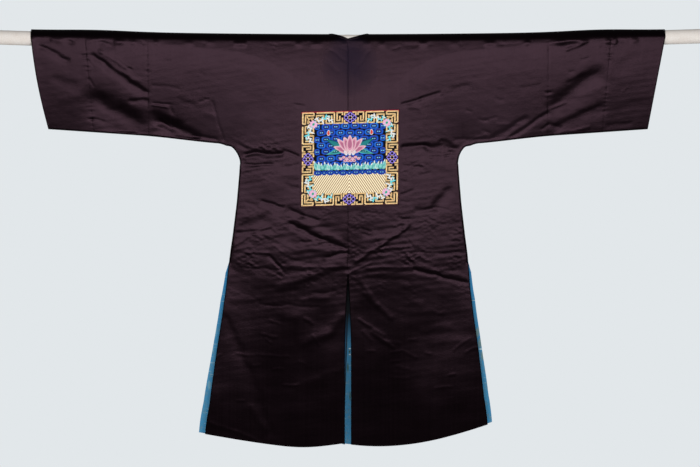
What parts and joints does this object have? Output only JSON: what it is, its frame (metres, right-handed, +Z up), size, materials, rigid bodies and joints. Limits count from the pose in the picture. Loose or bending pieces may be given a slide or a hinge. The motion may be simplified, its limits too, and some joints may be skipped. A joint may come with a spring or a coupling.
{
  "type": "silk court surcoat on a hanging rod",
  "caption": "Wide-sleeved dark silk surcoat with a square badge, back vent and side slits, hung flat on a rod through its sleeves.",
  "frame": {"origin": "axis of the rod at its middle, above the centre back seam", "axes": "+X along the rod towards the coat's right sleeve as seen from the back, +Y out of the coat's front, +Z up"},
  "size_m": [2.12, 0.064, 1.2101],
  "materials": {
    "satin": "dark aubergine silk satin, soft sheen",
    "lining_silk": "light blue plain silk",
    "embroidery": "silk and couched gold thread on a black ground",
    "rod_wrap": "cream cotton wrap over a wooden pole",
    "gilt_button": "gilt ball button"
  },
  "bodies": {
    "root": {"rod": "rod_wrap", "body_left": "satin", "sleeve_left": "satin", "cuff_left": "satin", "body_right": "satin", "sleeve_right": "satin", "cuff_right": "satin", "lining_left": "lining_silk", "lining_right": "lining_silk", "neck_binding": "satin", "rank_badge": "embroidery", "button_1": "gilt_button", "button_2": "gilt_button", "button_3": "gilt_button", "button_4": "gilt_button", "button_5": "gilt_button", "loop_1": "satin", "loop_2": "satin", "loop_3": "satin", "loop_4": "satin", "loop_5": "satin"}
  },
  "joints": []
}
